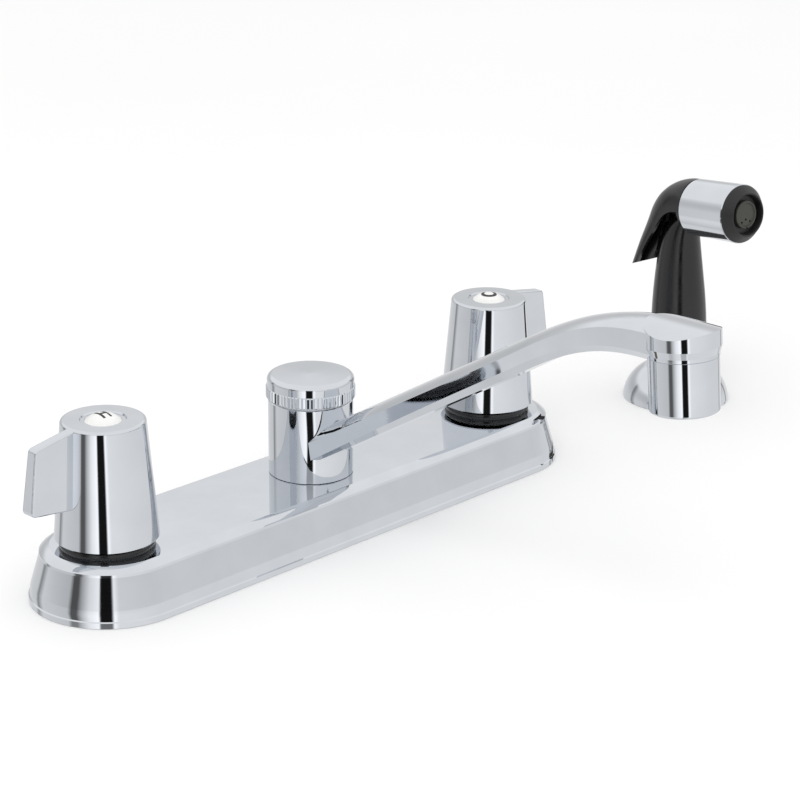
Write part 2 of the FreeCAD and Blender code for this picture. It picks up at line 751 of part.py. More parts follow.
def make_blade(body):
    """The blade alone, from inside the cap's wall outwards: thinner and shorter at its top,
    with a sloping top edge, a rising lower edge and soft outer corners."""
    root = 12.0
    sections = []
    for level, reach, thick in ((BLADE_FOOT_Z, BLADE_LOW_REACH, BLADE_LOW_T),
                                (HANDLE_TOP + 1.0, BLADE_TOP_REACH, BLADE_TOP_T)):
        sketch = new_sketch(body, "XY_Plane", (0, 0, level))
        half = thick / 2
        outline(sketch, [(root, -half), (reach, -half), (reach, half), (root, half)])
        sections.append(sketch)
    loft(body, sections)

    def above(sketch):
        outline(sketch, [(root - 1.0, HANDLE_TOP - 0.05), (root + 2.0, HANDLE_TOP - 0.2),
                         (BLADE_TOP_REACH + 4.0, HANDLE_TOP - 3.95),
                         (BLADE_TOP_REACH + 4.0, HANDLE_TOP + 6.0),
                         (root - 1.0, HANDLE_TOP + 6.0)])

    def below(sketch):
        outline(sketch, [(root - 1.0, BLADE_FOOT_Z - 2.0),
                         (BLADE_LOW_REACH + 4.0, BLADE_FOOT_Z - 2.0),
                         (BLADE_LOW_REACH + 4.0, BLADE_FOOT_Z + 4.1),
                         (root - 1.0, BLADE_FOOT_Z + 0.7)])

    pocket(body, above, 12.0, role="XZ_Plane", middle=True)
    pocket(body, below, 12.0, role="XZ_Plane", middle=True)
    soften(body, 2.0, lambda edge: middle_of(edge).x > 30.5 and abs(middle_of(edge).y) < 0.5)
    soften(body, 0.8, blade_rim)


def blade_rim(edge):
    """The long edges round the blade's two flat faces, outside the cone."""
    spot = middle_of(edge)
    return spot.x > 15.0 and abs(spot.y) > 1.5 and edge.Length > 2.0


def make_handle_screw(side, x, turn):
    """The pan-head screw that holds the handle on its stem."""
    body = new_body(f"{side}_handle_screw")
    thread = 1.95
    head = 3.8
    revolve(body, [
        (0, SCREW_SEAT - 9.5),
        (thread - 0.45, SCREW_SEAT - 9.5),
        (thread, SCREW_SEAT - 9.0),
        (thread, SCREW_SEAT),
        (head, SCREW_SEAT),
        (head, SCREW_SEAT + 1.2, "left", dome(head, 1.4)),
        (0, SCREW_SEAT + 2.6),
    ])

    def cross(sketch):
        arm = 2.2
        thick = 0.45
        outline(sketch, [(-arm, -thick), (-thick, -thick), (-thick, -arm), (thick, -arm),
                         (thick, -thick), (arm, -thick), (arm, thick), (thick, thick),
                         (thick, arm), (-thick, arm), (-thick, thick), (-arm, thick)])

    pocket(body, cross, 2.0, offset=(0, 0, SCREW_SEAT + 2.9))
    return place(body, f"{side}_handle_screw", (x, 0, 0), turn)


def make_index_button(side, x, turn):
    """The white press-in cap over the screw, domed and standing a little proud."""
    body = new_body(f"{side}_index_button")
    rim = HANDLE_TOP - 0.35
    revolve(body, [
        (BUTTON_R - 1.3, HANDLE_TOP - 4.0),
        (BUTTON_R, HANDLE_TOP - 4.0),
        (BUTTON_R, rim - 0.35, "left", 0.6),
        (BUTTON_R - 0.35, rim, "left", dome(BUTTON_R - 0.35, BUTTON_RISE)),
        (0, rim + BUTTON_RISE),
        (0, HANDLE_TOP - 1.0),
        (BUTTON_R - 1.3, HANDLE_TOP - 1.0),
    ])
    return place(body, f"{side}_index_button", (x, 0, 0), turn)


# ---------------------------------------------------------------------------
# Spout post, seals and nut
# ---------------------------------------------------------------------------
GROOVE_DEPTH = 1.85
GROOVE_HALF = 1.2
LOWER_GROOVE_Z = 28.0
UPPER_GROOVE_Z = 46.0
WAIST_LOW_Z = 32.5
WAIST_HIGH_Z = 41.5


def make_centre_post():
    """The brass post the spout turns on, with the diverter's bore and the hose outlet."""
    body = new_body("centre_post")
    corners = [
        (4.6, -HOSE_SHANK_END),
        (HOSE_SHANK_R - 0.6, -HOSE_SHANK_END),
        (HOSE_SHANK_R, -HOSE_SHANK_END + 0.6),
        (HOSE_SHANK_R, 2.0),
        (COLLAR_R - 0.2, 2.0),
        (COLLAR_R - 0.2, UNDER_PLATE),
        (POST_R, UNDER_PLATE),
    ]
    root = POST_R - GROOVE_DEPTH
    for low, high in ((LOWER_GROOVE_Z - GROOVE_HALF, LOWER_GROOVE_Z + GROOVE_HALF),
                      (WAIST_LOW_Z, WAIST_HIGH_Z),
                      (UPPER_GROOVE_Z - GROOVE_HALF, UPPER_GROOVE_Z + GROOVE_HALF)):
        corners += [(POST_R, low), (root, low), (root, high), (POST_R, high)]
    corners += [
        (POST_R, HUB_TOP - 0.3),
        (POST_THREAD_R, HUB_TOP - 0.3),
        (POST_THREAD_R, POST_TOP - 0.5),
        (POST_THREAD_R - 0.5, POST_TOP),
        (0, POST_TOP),
        (0, UPPER_GROOVE_Z),
        (POST_BORE_R, UPPER_GROOVE_Z - 2.0),
        (POST_BORE_R, 4.0),
        (4.6, 4.0),
    ]
    revolve(body, corners)
    for sign in (1, -1):
        tube_boss(body, sign)
        tube_bore(body, sign)
    window_z = (WAIST_LOW_Z + WAIST_HIGH_Z) / 2
    for plane in ("YZ_Plane", "XZ_Plane"):
        pocket(body, lambda sketch: ring(sketch, 3.4, (0, window_z)), POST_R * 3, role=plane,
               middle=True)
    return place(body, "centre_post")


def make_diverter():
    """The loose piston that lifts in the post when the sprayer runs."""
    body = new_body("diverter")
    revolve(body, [
        (0, 4.1),
        (3.9, 4.1),
        (POST_BORE_R - RUNNING, 5.4),
        (POST_BORE_R - RUNNING, 8.4),
        (2.4, 8.4),
        (2.4, 22.0),
        (5.6, 23.5),
        (5.6, 26.0),
        (0, 26.0),
    ])
    return place(body, "diverter")


def make_spout_o_ring(name, level):
    """A rubber ring in one of the post's grooves."""
    torus = DOC.addObject("Part::Torus", f"{name}_spout_o_ring")
    section = 0.92
    bind(torus, "Radius1", HUB_BORE_R - section - 0.03)
    torus.Radius2 = section
    return place(torus, f"{name}_spout_o_ring", (0, 0, level))


def make_spout_washer():
    return tube("spout_washer", NUT_R - 1.2, POST_R + 0.1, HUB_TOP + 0.1, NUT_BOTTOM)


def make_spout_nut():
    """The knurled cap nut: a fluted band below a smooth shoulder and a low domed top."""
    body = new_body("spout_nut")
    flute_depth = 0.42
    revolve(body, [
        (POST_THREAD_R + SEATED, NUT_BOTTOM),
        (NUT_R - 0.5, NUT_BOTTOM),
        (NUT_R, NUT_BOTTOM + 0.5),
        (NUT_R, NUT_BOTTOM + KNURL_T, "left", 0.6),
        (NUT_R - flute_depth, NUT_BOTTOM + KNURL_T + 0.45),
        (NUT_R - flute_depth, NUT_TOP - 1.9, "left", 2.1),
        (NUT_R - 2.3, NUT_TOP - 0.2),
        (0, NUT_TOP),
        (0, POST_TOP + 0.3),
        (POST_THREAD_R + SEATED, POST_TOP + 0.3),
    ])
    flutes = 72
    half_pitch = math.pi / flutes

    def flute(sketch):
        root = NUT_R - flute_depth
        wide = NUT_R * half_pitch * 0.62
        outline(sketch, [(root, 0), (NUT_R + 0.1, -wide), (NUT_R + 0.1, wide)])

    one = pocket(body, flute, KNURL_T + 1.0, offset=(0, 0, NUT_BOTTOM - 0.5), back=True)
    repeat(body, one, flutes)
    return place(body, "spout_nut")


# ---------------------------------------------------------------------------
# Spout and aerator
# ---------------------------------------------------------------------------
ARM_STATIONS = 9
ARM_FIRST = 8.0
ARM_PITCH = 21.0
# Half width, crown height, flank height and lower chamfer at each station along the arm.
HALF_WIDTHS = (12.4, 10.6, 9.8, 9.5, 9.4, 9.5, 9.7, 10.4, 12.6)
CROWNS = (4.4, 4.4, 4.4, 4.4, 4.4, 4.0, 3.0, 2.5, 2.4)
FLANKS = (7.4, 6.7, 5.9, 5.4, 5.2, 5.4, 6.1, 6.9, 7.2)
CHAMFERS = (1.2, 1.8, 2.4, 2.8, 3.0, 2.9, 2.6, 2.6, 2.6)


def arm_top(reach):
    """Height of the arm's crown: a straight climb, then an arc that levels out."""
    straight = ARM_TOP_AT_HUB + ARM_SLOPE * reach
    if reach <= ARM_BEND_Y.value:
        return straight
    climb = math.atan(ARM_SLOPE.value)
    along = reach - ARM_BEND_Y
    level_at = ARM_BEND_R * math.sin(climb)
    rest = (level_at - along).value / ARM_BEND_R.value
    risen = ARM_BEND_R * (math.sqrt(max(0.0, 1 - rest * rest)) - math.cos(climb))
    return ARM_TOP_AT_HUB + ARM_SLOPE * ARM_BEND_Y + risen


def arm_section(body, index):
    """One upright section of the arm: crowned top, steep flanks, chamfers and a flat belly."""
    reach = ARM_FIRST + ARM_PITCH * index
    half = size(f"arm_half_width_{'abcdefghi'[index]}", HALF_WIDTHS[index])
    crown = size(f"arm_crown_{'abcdefghi'[index]}", CROWNS[index])
    flank = size(f"arm_flank_{'abcdefghi'[index]}", FLANKS[index])
    chamfer = size(f"arm_chamfer_{'abcdefghi'[index]}", CHAMFERS[index])
    top = arm_top(reach)
    ridge = top - crown
    lower = ridge - flank
    belly = lower - chamfer
    belly_half = half - 3.0
    sketch = new_sketch(body, "XZ_Plane", (0, 0, reach))
    outline(sketch, [
        (half, ridge, "left", (half * half + crown * crown) / (crown * 2)),
        (-half, ridge),
        (-half + 0.5, lower),
        (-belly_half, belly),
        (belly_half, belly),
        (half - 0.5, lower),
    ])
    return sketch


def make_spout():
    """The cast spout: a hub that turns on the post, a climbing arm that widens and levels
    out over the bowl, and a leaning outlet with a threaded nipple for the aerator."""
    body = new_body("spout")
    hub_foot = PLATE_TOP + 0.1
    revolve(body, [
        (0, hub_foot),
        (HUB_R - 0.25, hub_foot),
        (HUB_R, hub_foot + 0.25),
        (HUB_R, HUB_TOP - 0.3),
        (HUB_R - 0.3, HUB_TOP),
        (0, HUB_TOP),
    ])
    loft(body, [arm_section(body, index) for index in range(ARM_STATIONS)])
    at_outlet = {"role": "YZ_Plane", "offset": (-OUTLET_Y, OUTLET_Z, 0), "turn": -OUTLET_TILT}
    revolve(body, [
        (0, 0),
        (SHELL_R + 0.15, 0),
        (SHELL_R + 0.25, 1.2),
        (TIP_R, 3.6),
        (TIP_R, 14.0),
        (0, 14.0),
    ], **at_outlet)
    crown_tip(body)
    revolve(body, [(0, 0), (SHELL_R + 0.12, 0), (SHELL_R + 0.12, -24.0), (0, -24.0)],
            kind="Groove", **at_outlet)
    revolve(body, [(0, 2.0), (NIPPLE_R, 2.0), (NIPPLE_R, -NIPPLE_L), (0, -NIPPLE_L)],
            **at_outlet)
    revolve(body, [(0, 8.0), (NIPPLE_R - 2.2, 6.0), (NIPPLE_R - 2.2, -NIPPLE_L - 1.0),
                   (0, -NIPPLE_L - 1.0)], kind="Groove", **at_outlet)
    cut_channel(body)
    revolve(body, [(0, hub_foot - 1.0), (HUB_BORE_R, hub_foot - 1.0),
                   (HUB_BORE_R, HUB_TOP + 1.0), (0, HUB_TOP + 1.0)], kind="Groove")
    return place(body, "spout")


def crown_tip(body):
    """Trim the round tip to the arm's own crown, so that the two make one surface."""
    reach = TIP_R + 3.0
    drop = TIP_CROWN_R.value - math.sqrt(TIP_CROWN_R.value ** 2 - reach.value ** 2)

    def lid(sketch):
        outline(sketch, [(reach, TIP_TOP - drop, "left", TIP_CROWN_R), (-reach, TIP_TOP - drop),
                         (-reach, TIP_TOP + 12.0), (reach, TIP_TOP + 12.0)])

    pocket(body, lid, TIP_R * 2 + 10.0, role="XZ_Plane", offset=(0, 0, OUTLET_Y - TIP_R - 4.2),
           back=True)


def cut_channel(body):
    """The water channel along the middle of the arm, from the hub's bore to the outlet."""
    depth = 7.4
    climb = math.atan(ARM_SLOPE.value)
    entry = 10.0
    radius = ARM_BEND_R - depth
    lean = math.radians(-0.5)
    start = (-entry, arm_top(entry) - depth)
    bend = (-ARM_BEND_Y, arm_top(ARM_BEND_Y.value) - depth)
    finish = (bend[0] - radius * (math.sin(climb) - math.sin(lean)),
              bend[1] + radius * (math.cos(lean) - math.cos(climb)))
    spine = new_sketch(body, "YZ_Plane")
    points = [Vector(x.value if isinstance(x, Size) else x, as_size(z).value, 0)
              for x, z in (start, bend, finish)]
    run = spine.addGeometry(Part.LineSegment(points[0], points[1]), False)
    arc, arc_start, arc_end = add_arc(spine, points[1], points[2], radius.value, True)
    hold(spine, run, 1, start)
    hold(spine, run, 2, bend)
    hold(spine, arc, arc_end, finish)
    spine.addConstraint(Sketcher.Constraint("Coincident", run, 2, arc, arc_start))
    section = new_sketch(body, "XZ_Plane", (0, 0, entry))
    ring(section, CHANNEL_R, (0, start[1]))
    pipe = body.newObject("PartDesign::SubtractivePipe", "SubtractivePipe")
    pipe.Profile = section
    pipe.Spine = (spine, ["Edge1", "Edge2"])
    body.Tip = pipe


def make_aerator_shell():
    """The plain chromed shell that screws over the outlet's nipple."""
    body = new_body("aerator_shell")
    revolve(body, [
        (NIPPLE_R + SEATED, 0),
        (SHELL_R - 0.25, 0),
        (SHELL_R, -0.25),
        (SHELL_R, -SHELL_H + 1.0, "right", 1.0),
        (SHELL_R - 1.0, -SHELL_H),
        (NIPPLE_R - 0.8, -SHELL_H),
        (NIPPLE_R - 0.8, -SHELL_H + SHELL_LIP),
        (NIPPLE_R + SEATED, -SHELL_H + SHELL_LIP),
    ])
    return place_at_outlet(body, "aerator_shell")


def place_at_outlet(body, label):
    """Lean a sub-part drawn about Z so that it hangs from the outlet's seam."""
    body.Label = label
    body.Placement = Placement(Vector(0, 0, 0), Rotation(Vector(1, 0, 0), -OUTLET_TILT.value))
    body.setExpression("Placement.Base.y", (-OUTLET_Y).text)
    body.setExpression("Placement.Base.z", OUTLET_Z.text)
    PARTS.append(body)
    return body


INSERT_Z = SHELL_LIP + SEATED - SHELL_H
SCREEN_Z = INSERT_Z + INSERT_H


def make_aerator_insert():
    """The moulded flow former: a rim and hub joined by ribs, with a ring between."""
    body = new_body("aerator_insert")
    low = INSERT_Z
    rib_h = 4.0
    for bore, outer, height in ((NIPPLE_R - 2.0, NIPPLE_R - SEATED, INSERT_H),
                                (4.4, 5.4, rib_h), (0, 1.8, rib_h)):
        revolve(body, [(bore, low), (outer, low), (outer, low + height), (bore, low + height)])

    def rib(sketch):
        outline(sketch, [(0, -0.35), (NIPPLE_R - 1.5, -0.35), (NIPPLE_R - 1.5, 0.35), (0, 0.35)])

    repeat(body, pad(body, rib, rib_h, offset=(0, 0, low)), 8)
    return place_at_outlet(body, "aerator_insert")


def make_aerator_screen():
    """The screen disc above the flow former."""
    body = new_body("aerator_screen")
    pad(body, lambda sketch: ring(sketch, NIPPLE_R - 0.1), SCREEN_T, offset=(0, 0, SCREEN_Z))
    return place_at_outlet(body, "aerator_screen")


def make_aerator_washer():
    """The rubber washer squeezed between the screen and the nipple's end."""
    body = new_body("aerator_washer")
    low = SCREEN_Z + SCREEN_T
    revolve(body, [(NIPPLE_R - 2.4, low), (NIPPLE_R - 0.1, low), (NIPPLE_R - 0.1, -NIPPLE_L),
                   (NIPPLE_R - 2.4, -NIPPLE_L)])
    return place_at_outlet(body, "aerator_washer")


# ---------------------------------------------------------------------------
# Side sprayer: the holder in the deck
# ---------------------------------------------------------------------------
AT_SPRAYER = (SPRAY_X, -SPRAY_Y, 0)


def make_spray_holder():
    """The high domed flange, and a threaded shank below the deck."""
    body = new_body("spray_holder")
    revolve(body, [
        (HOLDER_BORE_R, -HOLDER_SHANK_END),
        (HOLDER_SHANK_R - 0.7, -HOLDER_SHANK_END),
        (HOLDER_SHANK_R, -HOLDER_SHANK_END + 0.7),
        (HOLDER_SHANK_R, FLANGE_RECESS),
        (HOLDER_R - 1.4, FLANGE_RECESS),
        (HOLDER_R - 1.4, 0),
        (HOLDER_R, 0),
        (HOLDER_R, 0.9, "left", 17.5),
        (HOLDER_COLLAR_R + 0.2, HOLDER_TOP - 0.1, "left", 1.2),
        (HOLDER_COLLAR_R - 0.6, HOLDER_TOP),
        (HOLDER_BORE_R, HOLDER_TOP),
    ])
    return place(body, "spray_holder", AT_SPRAYER)


def make_spray_holder_fixings():
    """The gasket under the flange, and the washer and nut below the deck."""
    tube("spray_holder_gasket", HOLDER_R - 1.6, HOLDER_SHANK_R + 0.1, 0,
         FLANGE_RECESS - SEATED, AT_SPRAYER)
    tube("spray_holder_washer", 20.0, HOLDER_SHANK_R + 0.25, -HOLDER_CLAMP_Z,
         WASHER_T - HOLDER_CLAMP_Z, AT_SPRAYER)
    winged_nut("spray_holder_nut", HOLDER_SHANK_R + SEATED, 20.0, 26.0, -HOLDER_CLAMP_Z,
               AT_SPRAYER)


def make_hose_coupling():
    """The brass swivel coupling that the hose ends in: a knurled collar and a spigot that
    the grip turns on."""
    body = new_body("hose_coupling")
    low = -GRIP_FOOT_Z - 16.0
    revolve(body, [
        (HOSE_BORE_R, low),
        (9.4, low),
        (10.3, low + 0.9),
        (10.3, -GRIP_FOOT_Z - 2.2),
        (9.6, -GRIP_FOOT_Z - 1.5),
        (GRIP_SOCKET_R - RUNNING, -GRIP_FOOT_Z - 1.5),
        (GRIP_SOCKET_R - RUNNING, -GRIP_FOOT_Z + 6.0),
        (HOSE_BORE_R, -GRIP_FOOT_Z + 6.0),
    ])
    return place(body, "hose_coupling", AT_SPRAYER, -SPRAY_TURN)


def make_coupling_washer():
    tube("coupling_washer", 10.2, GRIP_SOCKET_R + SEATED, SEATED - GRIP_FOOT_Z - 1.5,
         -GRIP_FOOT_Z - SEATED, AT_SPRAYER)


# ---------------------------------------------------------------------------
# Side sprayer: grip, head, valve and lever, drawn with the nozzle facing local -Y
# ---------------------------------------------------------------------------
# Level circles of the grip: height, how far back the centre is, and radius.
GRIP_CIRCLES = (
    (GRIP_BASE_Z, 0, GRIP_R),
    (33.5, 0, 12.15),
    (46.0, 0.65, 11.55),
    (58.5, 1.25, 10.35),
    (71.0, 1.3, 8.7),
    (83.5, -2.2, 4.8),
)


def on_head():
    """Sketch settings for work about the head's leaning axis, upright axis forward. The
    height runs forward from the seam behind the sleeve."""
    return {"role": "YZ_Plane", "offset": (-HEAD_Y, HEAD_Z, 0), "turn": 90.0 - HEAD_TILT}


def at_sprayer(body, label):
    return place(body, label, AT_SPRAYER, -SPRAY_TURN)


def grip_circle(body, level, back, radius):
    sketch = new_sketch(body, "XY_Plane", (0, 0, level))
    ring(sketch, radius, (0, back))
    return sketch


def make_sprayer_grip():
    """The moulded grip: a slim column that leans back a little and then bows forward into
    the head, and the barrel that carries the chromed sleeve."""
    body = new_body("sprayer_grip")
    shoulder = HOLDER_TOP + 0.3
    revolve(body, [
        (0, -GRIP_FOOT_Z),
        (GRIP_FOOT_R - 0.6, -GRIP_FOOT_Z),
        (GRIP_FOOT_R, -GRIP_FOOT_Z + 0.6),
        (GRIP_FOOT_R, shoulder),
        (GRIP_R, shoulder, "left", 0.8),
        (GRIP_R + 0.3, shoulder + 1.0),
        (GRIP_R, GRIP_BASE_Z),
        (0, GRIP_BASE_Z),
    ])
    loft(body, [grip_circle(body, *row) for row in GRIP_CIRCLES])
    barrel_r = SLEEVE_BORE_R - 0.1
    nose_r = 8.6
    end = SLEEVE_L - 8.0
    revolve(body, [
        (0, -9.7),
        (4.6, -9.7, "right", 6.6),
        (BARREL_R_REAR, -4.9),
        (BARREL_R_REAR, 0),
        (barrel_r, 0),
        (barrel_r, end),
        (nose_r, end),
        (nose_r, end + 1.5),
        (0, end + 1.5),
    ], **on_head())
    revolve(body, [(0, -1.0), (5.0, -1.0), (5.0, SLEEVE_L), (0, SLEEVE_L)], kind="Groove",
            **on_head())
    revolve(body, [
        (0, -GRIP_FOOT_Z - 1.0),
        (GRIP_SOCKET_R, -GRIP_FOOT_Z - 1.0),
        (GRIP_SOCKET_R, -GRIP_FOOT_Z + 7.0),
        (WATERWAY_R, -GRIP_FOOT_Z + 9.0),
        (WATERWAY_R, WATERWAY_TOP),
        (0, WATERWAY_TOP),
    ], kind="Groove")
    cut_valve_passages(body)

    def lever_room(sketch):
        outline(sketch, [(4.6, 82.5), (7.4, 71.6), (8.5, 64.6), (10.1, 59.5), (14.5, 55.5),
                         (16.0, 60.0), (16.0, 82.5)])

    pocket(body, lever_room, 11.4, role="YZ_Plane", middle=True)
    pocket(body, lambda sketch: ring(sketch, PIN_R, (-PIN_Y, PIN_Z)), PIN_HALF * 3,
           role="YZ_Plane", middle=True)
    return at_sprayer(body, "sprayer_grip")


def cut_valve_passages(body):
    """The valve's stepped bore, the riser beside it, a slanted drilling between the two and
    a level one from the riser's top into the barrel."""
    mouth = 86.0
    rod_r = STEM_ROD_R + 0.4
    revolve(body, [
        (0, WATERWAY_TOP - 5.0),
        (VALVE_BORE_R, WATERWAY_TOP - 5.0),
        (VALVE_BORE_R, VALVE_SEAT_Z),
        (rod_r, VALVE_SEAT_Z),
        (rod_r, SPRING_FLOOR),
        (VALVE_BORE_R, SPRING_FLOOR),
        (VALVE_BORE_R, mouth),
        (0, mouth),
    ], offset=(0, 0, -VALVE_Y), kind="Groove")
    revolve(body, [(0, 64.5), (RISER_R, 64.5), (RISER_R, mouth), (0, mouth)],
            offset=(RISER_X, 0, RISER_Y), kind="Groove")
    side, forward = RISER_X.value, (VALVE_Y + RISER_Y).value
    slant = math.degrees(math.atan2(side, forward))
    across = new_sketch(body, "XZ_Plane", (0, 66.0, -VALVE_Y), slant, Vector(0, 1, 0))
    ring(across, DRILL_R)
    feature(body, "Pocket", across, Length=math.hypot(side, forward)).Reversed = True
    pocket(body, lambda sketch: ring(sketch, DRILL_R, (RISER_X, 85.5)), 9.0, role="XZ_Plane",
           offset=(0, 0, RISER_Y), back=True)


def make_head_sleeve():
    """The chromed sleeve over the barrel, opening out slightly to the front."""
    body = new_body("head_sleeve")
    step = SLEEVE_L - 7.9
    revolve(body, [
        (SLEEVE_BORE_R, 0.05),
        (SLEEVE_BACK_R - 0.3, 0.05),
        (SLEEVE_BACK_R, 0.35),
        (SLEEVE_FRONT_R, SLEEVE_L - 0.4),
        (SLEEVE_FRONT_R - 0.2, SLEEVE_L),
        (SLEEVE_FRONT_R - 0.8, SLEEVE_L),
        (SLEEVE_FRONT_R - 0.8, step),
        (SLEEVE_BORE_R, step),
    ], **on_head())
    return at_sprayer(body, "head_sleeve")


def make_nozzle_ring():
    """The black nozzle: a blunt cone that stands out of the sleeve, and a round trough in
    its face with the spray disc's boss in the middle."""
    body = new_body("nozzle_ring")
    outer = SLEEVE_FRONT_R - 0.85
    revolve(body, [
        (8.65, SLEEVE_L - 7.8),
        (outer, SLEEVE_L - 7.8),
        (outer, SLEEVE_L + 0.05),
        (SLEEVE_FRONT_R - 0.3, SLEEVE_L + 0.05),
        (SLEEVE_FRONT_R - 0.3, SLEEVE_L + 0.35),
        (9.4, SLEEVE_L + 3.7, "left", 0.6),
        (8.9, SLEEVE_L + 3.9),
        (8.6, SLEEVE_L + 3.6),
        (7.9, SLEEVE_L + 1.0),
        (SPRAY_DISC_R + 0.05, SLEEVE_L + 1.0),
        (SPRAY_DISC_R + 0.05, SLEEVE_L - 1.0),
        (4.6, SLEEVE_L - 1.0),
        (4.6, SLEEVE_L - 6.3),
        (8.65, SLEEVE_L - 6.3),
    ], **on_head())
    return at_sprayer(body, "nozzle_ring")


def make_spray_disc():
    """The perforated disc in the nozzle's face, with a ring of jets round a middle one."""
    body = new_body("spray_disc")
    front = SLEEVE_L + 2.9
    revolve(body, [
        (0, SLEEVE_L - 0.95),
        (SPRAY_DISC_R, SLEEVE_L - 0.95),
        (SPRAY_DISC_R, front - 0.3),
        (SPRAY_DISC_R - 0.3, front),
        (SPRAY_DISC_R - 0.9, front),
        (SPRAY_DISC_R - 1.2, front - 0.5),
        (0, front - 0.5),
    ], **on_head())
    jets = 8
    sketch = new_sketch(body, "XZ_Plane", (0, HEAD_Z, HEAD_Y), HEAD_TILT, Vector(1, 0, 0))
    ring(sketch, JET_R)
    for i in range(jets):
        angle = 2 * math.pi * i / jets
        ring(sketch, JET_R, (JET_REACH * math.cos(angle), JET_REACH * math.sin(angle)))
    feature(body, "Pocket", sketch, Length=SLEEVE_L + 5.0).Reversed = True
    return at_sprayer(body, "spray_disc")


def make_lever_pin():
    """The steel cross pin that the lever turns on."""
    body = new_body("lever_pin")
    pad(body, lambda sketch: ring(sketch, PIN_R - 0.01, (-PIN_Y, PIN_Z)), PIN_HALF * 2,
        role="YZ_Plane", middle=True)
    return at_sprayer(body, "lever_pin")


# Each section of the lever: how far back and how high its crown is, its lean in degrees,
# half width, corner radius and depth of its flanks.
LEVER_SECTIONS = (
    (-6.6, 100.3, 9.5, 11.7, 11.5, 12.7),
    (3.5, 97.5, 30.0, 11.5, 10.9, 12.4),
    (11.3, 90.5, 52.0, 11.0, 9.4, 11.2),
    (15.5, 80.9, 65.0, 10.2, 7.4, 8.8),
    (19.3, 71.1, 68.0, 9.3, 5.4, 6.3),
    (23.1, 61.4, 66.5, 8.4, 4.0, 4.6),
    (27.3, 51.7, 66.0, 7.6, 3.2, 3.8),
)
LEVER_WALL = 1.7


def lever_section(body, row, wall):
    """An arch across the lever, square to its run: a flat back, round corners and flanks."""
    back, level, lean, half, corner, depth = row
    sketch = new_sketch(body, "XZ_Plane", (0, level, -back), -lean, Vector(1, 0, 0))
    reach = half - wall
    flat = half - corner
    low = -depth - (2.0 if wall else 0)
    bend = corner - wall
    outline(sketch, [
        (-reach, low),
        (reach, low),
        (reach, -corner, "left", bend),
        (flat, -wall),
        (-flat, -wall, "left", bend),
        (-reach, -corner),
    ])
    return sketch


def crown_line(inset):
    """Points along the lever's back, moved in by the given amount."""
    return [(back - inset * math.sin(math.radians(lean)),
             level - inset * math.cos(math.radians(lean)))
            for back, level, lean, *_ in LEVER_SECTIONS]


def make_spray_lever():
    """The moulded lever: a hood over the back of the head that runs down into a tail, with
    a cheek set in on each side of the tail and a finger inside that pushes the valve."""
    body = new_body("spray_lever")
    loft(body, [lever_section(body, row, 0) for row in LEVER_SECTIONS])
    inner = [lever_section(body, row, LEVER_WALL) for row in LEVER_SECTIONS]
    hollow = feature(body, "SubtractiveLoft", inner[0])
    hollow.Sections = inner[1:]

    notch = (13.2, 61.2)
    cheek_edge = [(6.9, 79.2), (9.4, 72.5), (11.0, 65.6), notch, (21.0, 57.4)]

    def cheek(sketch):
        outline(sketch, cheek_edge + crown_line(0.9)[-1:2:-1])

    def between(sketch):
        outline(sketch, [(x - 3.0, z - 1.0) for x, z in cheek_edge] +
                crown_line(LEVER_WALL)[-1:2:-1])

    pad(body, cheek, 10.4, role="YZ_Plane", middle=True)
    pocket(body, between, 7.8, role="YZ_Plane", middle=True)

    def finger(sketch):
        outline(sketch, [(VALVE_Y - 0.9, 84.6), (VALVE_Y + 0.9, 84.6), (VALVE_Y + 1.6, 94.3),
                         (VALVE_Y - 1.6, 96.6)])

    pad(body, finger, 4.0, role="YZ_Plane", middle=True)

    def tail_end(sketch):
        outline(sketch, [(30.0, 54.4), (25.4, 56.2), notch, (10.0, 52.0), (30.0, 40.0)])

    pocket(body, tail_end, 40.0, role="YZ_Plane", middle=True)
    revolve(body, [(0, -0.35), (14.0, -0.35), (14.0, 6.0), (0, 6.0)], kind="Groove",
            **on_head())
    pocket(body, lambda sketch: ring(sketch, PIN_R + RUNNING, (-PIN_Y, PIN_Z)),
           PIN_HALF * 2 + 0.2, role="YZ_Plane", middle=True)
    return at_sprayer(body, "spray_lever")


def make_sprayer_valve():
    """The sprung valve inside the grip: stem, seal, gland and spring."""
    along = {"offset": (0, 0, -VALVE_Y)}
    stem = new_body("sprayer_valve_stem")
    revolve(stem, [
        (0, STEM_FOOT_Z),
        (2.2, STEM_FOOT_Z),
        (2.2, STEM_FOOT_Z + 1.2),
        (STEM_ROD_R, STEM_FOOT_Z + 1.2),
        (STEM_ROD_R, GLAND_LOW - 1.9),
        (2.4, GLAND_LOW - 1.9),
        (2.4, GLAND_LOW - 0.1),
        (STEM_ROD_R, GLAND_LOW - 0.1),
        (STEM_ROD_R, STEM_TIP_Z - 0.5),
        (STEM_ROD_R - 0.5, STEM_TIP_Z),
        (0, STEM_TIP_Z),
    ], **along)
    at_sprayer(stem, "sprayer_valve_stem")
    for label, outer, bore, low, high in (
            ("sprayer_valve_seal", 2.45, STEM_ROD_R + 0.02, STEM_FOOT_Z + 1.25,
             VALVE_SEAT_Z - SEATED),
            ("sprayer_valve_gland", VALVE_BORE_R - 0.02, STEM_ROD_R + RUNNING, GLAND_LOW,
             GLAND_TOP)):
        body = new_body(label)
        revolve(body, [(bore, low), (outer, low), (outer, high), (bore, high)], **along)
        at_sprayer(body, label)
    make_valve_spring()


